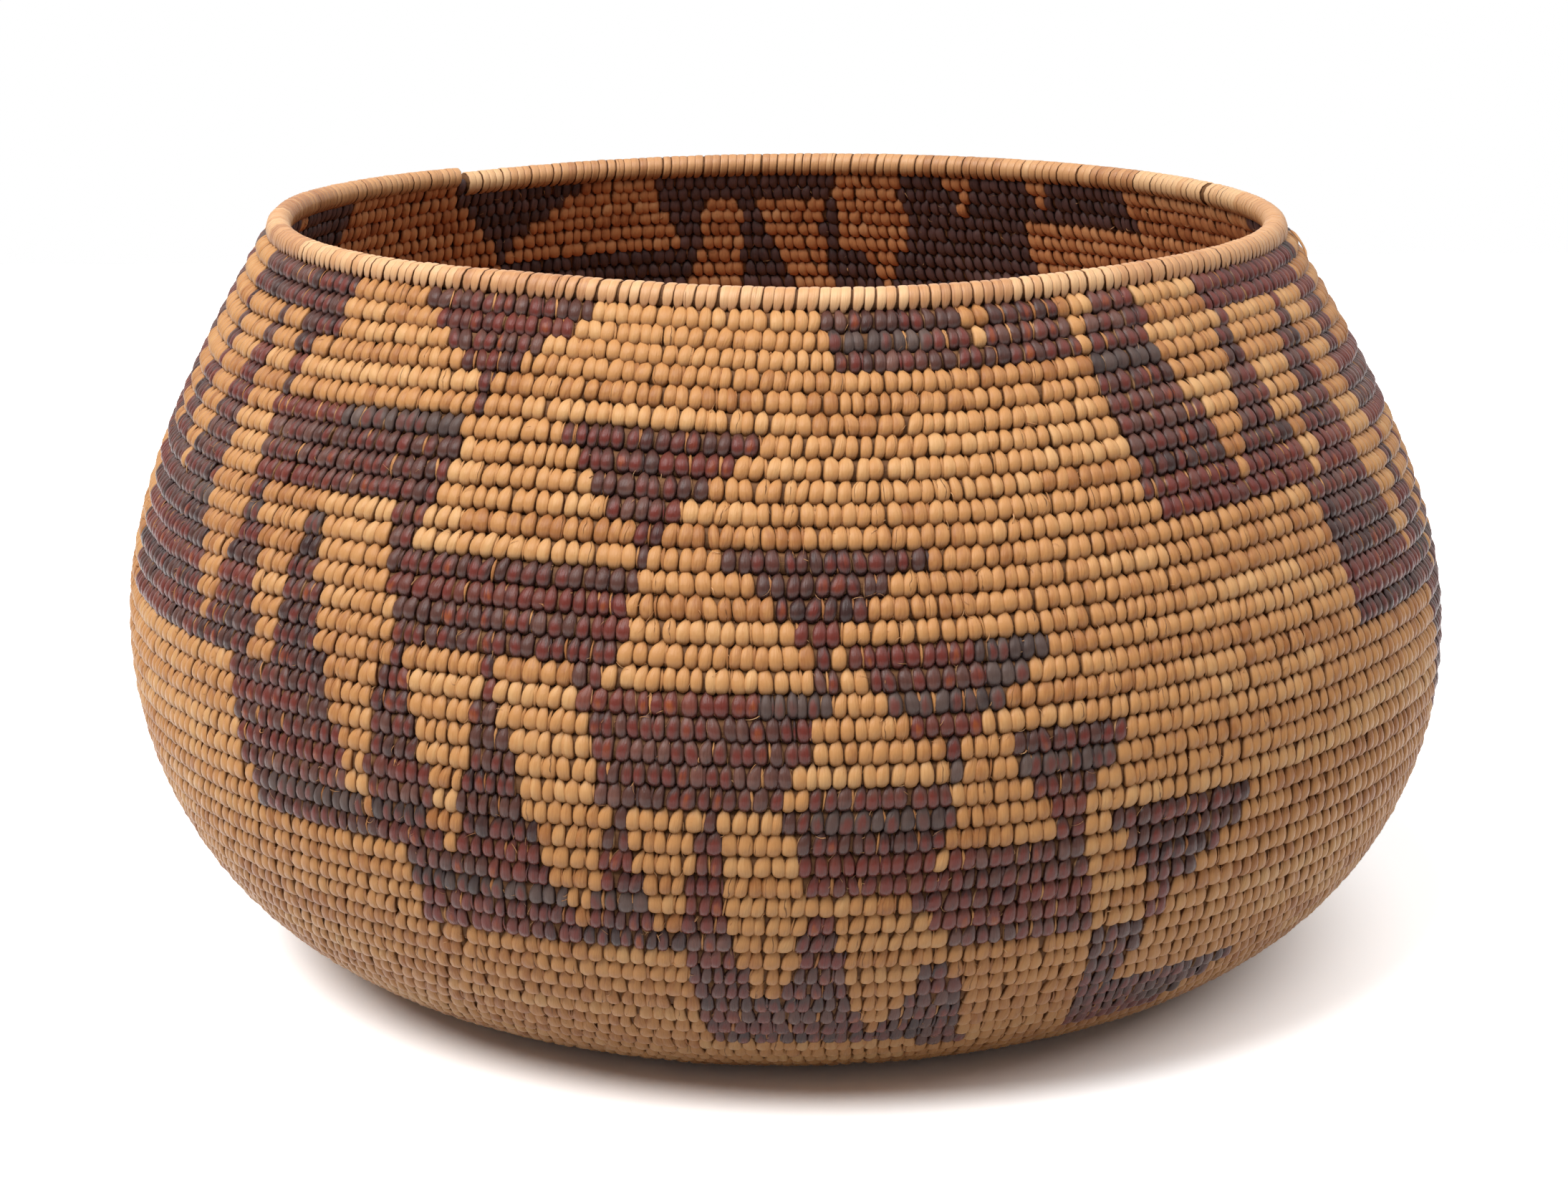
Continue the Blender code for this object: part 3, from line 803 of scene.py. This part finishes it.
def start_knot(looks, inside_looks):
    """The knot in the middle of the base: the coil's innermost stretch, sewn over outside and inside."""
    rng = np.random.default_rng(KNOT_SEED)
    turn = np.arange(LAST_TURN + KNOT_FIRST_TURN, LAST_TURN + KNOT_TURNS, KNOT_STEP_TURN)
    count = len(turn)
    width = KNOT_WIDTH_SHARE * STITCH_SPACING * (1 + rng.normal(0, KNOT_WIDTH_SPREAD_SHARE, count))
    tint = tints(count, rng, middle=0.45, spread=0.5)
    wear = np.ones(count)
    sides = (("outside", 1, OUTSIDE_SHARES, looks[LIGHT]), ("inside", -1, INSIDE_SHARES, inside_looks[LIGHT]))
    pieces = []
    for word, side, shape, look in sides:
        points, along = stitches_on(turn, width, side, shape, PLAIN_SHARES, rng)
        name = f"start_knot_{word}"
        across = PLAIN_SHARES[0]
        pieces.append(strand_piece(name, points, along, tint, wear, look, across, side < 0))
    return pieces[0]


def vertex_values(tree, name):
    """The three values that each vertex of a piece carries under a name."""
    attribute = tree.nodes.new("ShaderNodeAttribute")
    attribute.attribute_name = name
    parts = tree.nodes.new("ShaderNodeSeparateXYZ")
    tree.links.new(attribute.outputs["Vector"], parts.inputs[0])
    return parts.outputs


def feed(tree, socket, value):
    """Set a socket to a number or a colour, or link it to another socket."""
    if isinstance(value, (int, float)):
        socket.default_value = value
    elif isinstance(value, tuple):
        socket.default_value = (*value, 1)
    else:
        tree.links.new(value, socket)


def combined(tree, x, y, z):
    node = tree.nodes.new("ShaderNodeCombineXYZ")
    for socket, value in zip(node.inputs, (x, y, z)):
        feed(tree, socket, value)
    return node.outputs[0]


def calc(tree, operation, *operands):
    """A Math node's result."""
    node = tree.nodes.new("ShaderNodeMath")
    node.operation = operation
    for socket, value in zip(node.inputs, operands):
        feed(tree, socket, value)
    return node.outputs[0]


def swing(tree, value, size):
    """A value that goes from 0 to 1, made to go from minus half the size to plus half."""
    return calc(tree, "MULTIPLY_ADD", value, size, -size / 2)


def mixed_colour(tree, factor, first, second):
    """The first colour where the factor is 0, the second where it is 1."""
    node = tree.nodes.new("ShaderNodeMix")
    node.data_type = "RGBA"
    node.clamp_factor = True
    feed(tree, node.inputs[0], factor)
    feed(tree, node.inputs[6], first)
    feed(tree, node.inputs[7], second)
    return node.outputs[2]


def ramp(tree, factor, low, high):
    """0 below low, 1 above high, smooth between."""
    node = tree.nodes.new("ShaderNodeMapRange")
    node.interpolation_type = "SMOOTHSTEP"
    node.inputs["From Min"].default_value = low
    node.inputs["From Max"].default_value = high
    tree.links.new(factor, node.inputs["Value"])
    return node.outputs["Result"]


def noise(tree, vector, scale, detail):
    node = tree.nodes.new("ShaderNodeTexNoise")
    node.inputs["Scale"].default_value = scale
    node.inputs["Detail"].default_value = detail
    tree.links.new(vector, node.inputs["Vector"])
    return node.outputs["Fac"]


# What the looks of strand share. A place along a strand goes from 0 at its foot to 1 at its tip, and a place
# across it from -1 to 1.
# Three kinds of noise: how much finer each is across and along the strand, its scale and its detail
GRAIN = (2.2, 1.0, 1.9, 5.0)
BLOTCH = (1.0, 2.2, 0.9, 2.0)
MOTTLE = (1.0, 1.6, 5.0, 6.0)
SEED_SCALE = 61.0  # sets the noise of one strand far from the next one's
BLOTCH_SWING = 0.7
WEAR_MIDDLE = 0.40  # along the strand
WEAR_SHORTNESS = 7.0  # how much faster wear ends along the strand than across it
WEAR_GRAIN_SWING = 0.8
WEAR_BLOTCH_SWING = 1.6
WEAR_EDGE = 0.1
WEAR_FADE = 0.2  # of the stitches, from those without wear to those with all of it
# How strongly painted shade darkens a stitch's tip and its flanks
TIP_SHADE_STRENGTH = 0.7
FLANK_SHADE_STRENGTH = 0.75
CUT_GRAIN = 0.3
CRACK_WANDER = 1.3
CRACK_SHADE = 0.8
CRACK_DEPTH = 2.0  # in heights of the grain
MOTTLE_DEPTH = 0.8
ROUGHNESS_SWING = 0.25
BUMP_DEPTH = 0.16 * MM


# The sockets that a strand's look is made from
Strand = namedtuple("Strand", "across along wear tone edge seed grain blotch mottle")


def strand_noise(tree, place, shift, finer_across, finer_along, scale, detail):
    """Noise over a strand, not the same as over the next one."""
    across = calc(tree, "MULTIPLY", place[0], finer_across)
    along = calc(tree, "MULTIPLY", place[1], finer_along)
    return noise(tree, combined(tree, across, along, shift), scale, detail)


def strand_values(tree):
    """The sockets that give a strand's values in this look."""
    place = vertex_values(tree, "place_in_strand")
    tint = vertex_values(tree, "strand_tint")
    shift = calc(tree, "MULTIPLY", tint[2], SEED_SCALE)
    noises = [strand_noise(tree, place, shift, *kind) for kind in (GRAIN, BLOTCH, MOTTLE)]
    return Strand(*place, *tint, *noises)


def toned(tree, strand, tones, streaks):
    """The strand's own colour, with fine streaks along it and blotches."""
    deep, middle, pale = tones
    tone = calc(tree, "ADD", strand.tone, swing(tree, strand.grain, streaks))
    tone = calc(tree, "ADD", tone, swing(tree, strand.blotch, BLOTCH_SWING))
    colour = mixed_colour(tree, ramp(tree, tone, 0.0, 0.5), deep, middle)
    return mixed_colour(tree, ramp(tree, tone, 0.5, 1.1), colour, pale)


def worn(tree, strand, colour, shade, without, reach, strength):
    """A layer of wear about a stitch's middle: its colour, the share of the stitches without it, how far it
    reaches and its strength."""
    middle = calc(tree, "SUBTRACT", strand.along, WEAR_MIDDLE)
    away = calc(tree, "MULTIPLY", calc(tree, "MULTIPLY", middle, middle), WEAR_SHORTNESS)
    away = calc(tree, "MULTIPLY_ADD", strand.across, strand.across, away)
    near = calc(tree, "SUBTRACT", swing(tree, strand.grain, WEAR_GRAIN_SWING), away)
    near = calc(tree, "ADD", near, swing(tree, strand.blotch, WEAR_BLOTCH_SWING))
    has_wear = ramp(tree, strand.wear, without, without + WEAR_FADE)
    amount = calc(tree, "MULTIPLY", ramp(tree, near, -reach, WEAR_EDGE), has_wear)
    return mixed_colour(tree, calc(tree, "MULTIPLY", amount, strength), colour, shade)


def with_painted_shade(tree, strand, colour, shade_colour):
    """Painted shade, darkening in patches at a stitch's foot and tip and along its flanks."""
    foot = calc(tree, "SUBTRACT", 1.0, ramp(tree, strand.along, 0.02, 0.34))
    tip = calc(tree, "MULTIPLY", ramp(tree, strand.along, 0.72, 1.0), TIP_SHADE_STRENGTH)
    amount = calc(tree, "MAXIMUM", foot, tip)
    amount = calc(tree, "MULTIPLY", amount, calc(tree, "MULTIPLY_ADD", strand.blotch, 0.9, 0.4))
    colour = mixed_colour(tree, amount, colour, shade_colour)
    flank = ramp(tree, calc(tree, "ABSOLUTE", strand.across), 0.72, 1.05)
    return mixed_colour(tree, calc(tree, "MULTIPLY", flank, FLANK_SHADE_STRENGTH), colour, shade_colour)


def edged(tree, strand, colour, edge):
    """A line in places at one side of some stitches: the pale cut edge on dark strand, and a line of painted
    shade where the edge colour is a deep one.
    """
    side = calc(tree, "MULTIPLY", strand.across, calc(tree, "SIGN", strand.edge))
    side = calc(tree, "MULTIPLY_ADD", strand.grain, CUT_GRAIN, side)
    amount = calc(tree, "MULTIPLY", ramp(tree, side, 1.0, 1.1), ramp(tree, strand.blotch, 0.35, 0.6))
    stitches = ramp(tree, calc(tree, "ABSOLUTE", strand.edge), 0.2, 0.6)
    return mixed_colour(tree, calc(tree, "MULTIPLY", amount, stitches), colour, edge)


def crack_line(tree, strand, share):
    """1 in the thin crack that this share of the stitches have along them, 0 beside it."""
    line = calc(tree, "MULTIPLY_ADD", strand.blotch, CRACK_WANDER, strand.across)
    line = calc(tree, "SUBTRACT", line, swing(tree, strand.seed, CRACK_WANDER))
    line = calc(tree, "ABSOLUTE", calc(tree, "SUBTRACT", line, CRACK_WANDER / 2))
    line = calc(tree, "SUBTRACT", 1.0, ramp(tree, line, 0.01, 0.09))
    line = calc(tree, "MULTIPLY", line, ramp(tree, strand.grain, 0.4, 0.6))
    return calc(tree, "MULTIPLY", line, calc(tree, "LESS_THAN", strand.wear, share))


def strand_look(name, tones, shade_colour, edge, roughness, wear_layers=(), cracked=0.0, specular=0.4, sheen=0.0,
                streaks=0.5):
    """Split strand: fine streaks along it, a tone that changes with each strand, wear, painted shade at its
    foot, tip and flanks, edge lines, and cracks in the share of the stitches that is cracked, with painted
    shade in them."""
    look = bpy.data.materials.new(name)
    look.use_nodes = True
    tree = look.node_tree
    shader = tree.nodes["Principled BSDF"]
    strand = strand_values(tree)
    colour = toned(tree, strand, tones, streaks)
    for layer in wear_layers:
        colour = worn(tree, strand, colour, *layer)
    # Painted shade at each stitch's foot, tip and flanks
    colour = with_painted_shade(tree, strand, colour, shade_colour)
    colour = edged(tree, strand, colour, edge)
    height = calc(tree, "ADD", strand.grain, calc(tree, "MULTIPLY", strand.mottle, MOTTLE_DEPTH))
    if cracked:
        line = crack_line(tree, strand, cracked)
        # Painted shade in the crack
        colour = mixed_colour(tree, calc(tree, "MULTIPLY", line, CRACK_SHADE), colour, shade_colour)
        height = calc(tree, "SUBTRACT", height, calc(tree, "MULTIPLY", line, CRACK_DEPTH))
    tree.links.new(colour, shader.inputs["Base Color"])
    rough = calc(tree, "ADD", roughness, swing(tree, strand.grain, ROUGHNESS_SWING))
    tree.links.new(rough, shader.inputs["Roughness"])
    shader.inputs["Specular IOR Level"].default_value = specular
    shader.inputs["Sheen Weight"].default_value = sheen
    shader.inputs["Sheen Roughness"].default_value = 0.4
    bump = tree.nodes.new("ShaderNodeBump")
    bump.inputs["Strength"].default_value = 0.7
    bump.inputs["Distance"].default_value = BUMP_DEPTH
    tree.links.new(height, bump.inputs["Height"])
    tree.links.new(bump.outputs["Normal"], shader.inputs["Normal"])
    return look


# Colours, each as a deep, a middle and a pale tone
LIGHT_TONES = ((0.31, 0.12, 0.036), (0.475, 0.225, 0.079), (0.58, 0.325, 0.137))
# Inside tones: the same strands as outside, painted brighter to make up for the shade inside the bowl
INSIDE_BRIGHTENED_TONES = ((0.38, 0.13, 0.048), (0.58, 0.24, 0.092), (0.71, 0.36, 0.16))
INSIDE_DARK_BRIGHTENED_TONES = ((0.050, 0.026, 0.024), (0.100, 0.050, 0.044), (0.17, 0.088, 0.074))
RIM_TONES = ((0.38, 0.165, 0.065), (0.55, 0.28, 0.12), (0.68, 0.41, 0.205))
DARK_TONES = ((0.030, 0.011, 0.009), (0.076, 0.029, 0.021), (0.15, 0.066, 0.048))
RED_TONES = ((0.044, 0.012, 0.010), (0.112, 0.030, 0.020), (0.19, 0.060, 0.038))
GREY_TONES = ((0.030, 0.017, 0.015), (0.075, 0.046, 0.038), (0.14, 0.094, 0.076))
ROD_TONES = ((0.09, 0.036, 0.014), (0.23, 0.108, 0.042), (0.46, 0.25, 0.11))
# Colours with one tone
# Painted shade colours for stitches' feet, tips, flanks and cracks; the light one also draws edge lines
LIGHT_PAINTED_SHADE = (0.10, 0.035, 0.012)
RIM_PAINTED_SHADE = (0.25, 0.10, 0.038)
DARK_PAINTED_SHADE = (0.016, 0.008, 0.009)
CUT_EDGE = (0.52, 0.29, 0.14)
RED_WEAR = (0.13, 0.020, 0.013)
ORANGE_WEAR = (0.26, 0.062, 0.015)

# The layers of wear on each kind of dark strand
DARK_WEAR = ((RED_WEAR, 0.30, 0.9, 0.9), (ORANGE_WEAR, 0.82, 0.4, 0.8))
REDDISH_WEAR = ((RED_WEAR, 0.1, 1.1, 0.9), (ORANGE_WEAR, 0.75, 0.4, 0.8))
GREYED_WEAR = ((RED_WEAR, 0.4, 0.8, 0.7),)


def strand_looks():
    """The looks of the light strand and of the three kinds of dark strand, outside and inside, the inside
    ones painted brighter to make up for the shade there.
    """
    light = strand_look(
        "light_strand_look", LIGHT_TONES, LIGHT_PAINTED_SHADE, LIGHT_PAINTED_SHADE, 0.42, cracked=0.07, specular=0.22
    )
    dark = strand_look("dark_strand_look", DARK_TONES, DARK_PAINTED_SHADE, CUT_EDGE, 0.30, DARK_WEAR, specular=0.2)
    red = strand_look("reddish_strand_look", RED_TONES, DARK_PAINTED_SHADE, CUT_EDGE, 0.30, REDDISH_WEAR, specular=0.2)
    grey = strand_look(
        "greyed_strand_look", GREY_TONES, DARK_PAINTED_SHADE, CUT_EDGE, 0.45, GREYED_WEAR, specular=0.2, sheen=0.03
    )
    # Inside, the deep tones are the painted shade colours, and the light one also draws the edge lines
    shade_colour = edge = INSIDE_BRIGHTENED_TONES[0]
    inside = strand_look("inside_light_brightened_look", INSIDE_BRIGHTENED_TONES, shade_colour, edge, 0.5, specular=0.3)
    shade_colour = INSIDE_DARK_BRIGHTENED_TONES[0]
    inside_dark = strand_look("inside_dark_brightened_look", INSIDE_DARK_BRIGHTENED_TONES, shade_colour, edge, 0.5, specular=0.3)
    return (light, dark, red, grey), (inside, inside_dark, inside_dark, inside_dark)


def rim_look():
    # Painted shade darkens each wrap's feet, outside and inside, and its flanks, and draws dark edge lines
    return strand_look("rim_strand_look", RIM_TONES, RIM_PAINTED_SHADE, LIGHT_PAINTED_SHADE, 0.44, cracked=0.04)


def foundation_look():
    # The deep tone is the painted shade colour and the edge line
    shade_colour = edge = ROD_TONES[0]
    return strand_look("foundation_look", ROD_TONES, shade_colour, edge, 0.7, specular=0.2, streaks=1.6)


def fibre_look():
    # The deep tone is the painted shade colour and the edge line
    shade_colour = edge = RIM_TONES[0]
    return strand_look("fibre_look", RIM_TONES, shade_colour, edge, 0.6, specular=0.2)


# The studio
WORLD_STRENGTH = 0.13
FLOOR_COLOUR = 0.4  # for the light that it throws back
FLOOR_SHOWN = 2.1  # where it is seen, bright enough to be white
FLOOR_SIZE = 1.1
FLOOR_DROP = 0.1 * MM
# Each lamp's place and size in metres, and its power in watts
LAMPS = (
    ("key_lamp", (-0.62, -0.62, 1.35), 1.3, 34),
    ("top_lamp", (0.8, -0.25, 1.3), 1.6, 12),
)
LAMP_TARGET = (0, 0, 90 * MM)


def seen_rays(tree):
    """1 for rays that show the background itself, 0 for the light that it gives."""
    path = tree.nodes.new("ShaderNodeLightPath").outputs
    seen = calc(tree, "MAXIMUM", path["Is Camera Ray"], path["Is Glossy Ray"])
    return calc(tree, "MAXIMUM", seen, path["Is Transmission Ray"])


def floor():
    mesh = bpy.data.meshes.new("floor")
    corners = [(-1, -1), (1, -1), (1, 1), (-1, 1)]
    mesh.from_pydata([(x * FLOOR_SIZE, y * FLOOR_SIZE, 0) for x, y in corners], [], [(0, 1, 2, 3)])
    look = bpy.data.materials.new("white_floor")
    look.use_nodes = True
    tree = look.node_tree
    tree.nodes.remove(tree.nodes["Principled BSDF"])
    shader = tree.nodes.new("ShaderNodeBsdfDiffuse")
    shown = calc(tree, "MULTIPLY_ADD", seen_rays(tree), FLOOR_SHOWN - FLOOR_COLOUR, FLOOR_COLOUR)
    tree.links.new(combined(tree, shown, shown, shown), shader.inputs["Color"])
    tree.links.new(shader.outputs[0], tree.nodes["Material Output"].inputs["Surface"])
    mesh.materials.append(look)
    piece = added_object("floor", mesh)
    piece.location.z = -FLOOR_DROP


def pale_world():
    world = bpy.data.worlds.new("studio")
    bpy.context.scene.world = world
    world.use_nodes = True
    tree = world.node_tree
    background = tree.nodes["Background"]
    background.inputs["Color"].default_value = (1, 1, 1, 1)
    strength = calc(tree, "MULTIPLY_ADD", seen_rays(tree), 1 - WORLD_STRENGTH, WORLD_STRENGTH)
    tree.links.new(strength, background.inputs["Strength"])


def soft_lamps():
    for name, place, size, power in LAMPS:
        light = bpy.data.lights.new(name, "AREA")
        light.shape = "DISK"
        light.size = size
        light.energy = power
        lamp = added_object(name, light)
        lamp.location = place
        aim = Vector(LAMP_TARGET) - Vector(place)
        lamp.rotation_euler = aim.to_track_quat("-Z", "Y").to_euler()


# The camera that the photograph was taken with: its place, how far it is tipped and turned, and its lens
CAMERA_DISTANCE = 800.0 * MM
CAMERA_HEIGHT = 288.8 * MM
CAMERA_SIDE = -0.48 * MM
CAMERA_PITCH = math.radians(14.525)
CAMERA_ROLL = math.radians(0.4355)
FRAME_WIDTH = 2189  # pixels
FOCAL_PIXELS = 4639.8
SENSOR = 36  # millimetres
CLIP_START = 10 * MM


def camera():
    data = bpy.data.cameras.new("camera")
    data.sensor_width = SENSOR
    data.lens = FOCAL_PIXELS * SENSOR / FRAME_WIDTH
    data.clip_start = CLIP_START
    cam = added_object("camera", data)
    cam.location = (CAMERA_SIDE, -CAMERA_DISTANCE, CAMERA_HEIGHT)
    turn = Matrix.Rotation(math.pi / 2 - CAMERA_PITCH, 3, "X") @ Matrix.Rotation(-CAMERA_ROLL, 3, "Z")
    cam.rotation_euler = turn.to_euler()
    bpy.context.scene.camera = cam


def main():
    for obj in list(bpy.data.objects):
        bpy.data.objects.remove(obj, do_unlink=True)
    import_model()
    looks, inside_looks = strand_looks()
    firsts, turn = stitch_pieces(looks, inside_looks)
    for zone, piece in firsts.items():
        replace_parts(piece, f"{zone}_coil")
    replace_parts(rim_wraps(rim_look()), "rim_wrapping")
    foundations(foundation_look())
    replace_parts(bpy.data.objects["rim_foundation"], "rim_rod_outer", "rim_rod_upper", "rim_rod_lower")
    frayed = fibre_look()
    fibres(turn, frayed)
    loose_strand(frayed)
    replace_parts(start_knot(looks, inside_looks), "start_knot")
    floor()
    pale_world()
    soft_lamps()
    camera()
    bpy.context.scene.view_settings.view_transform = "Standard"


main()
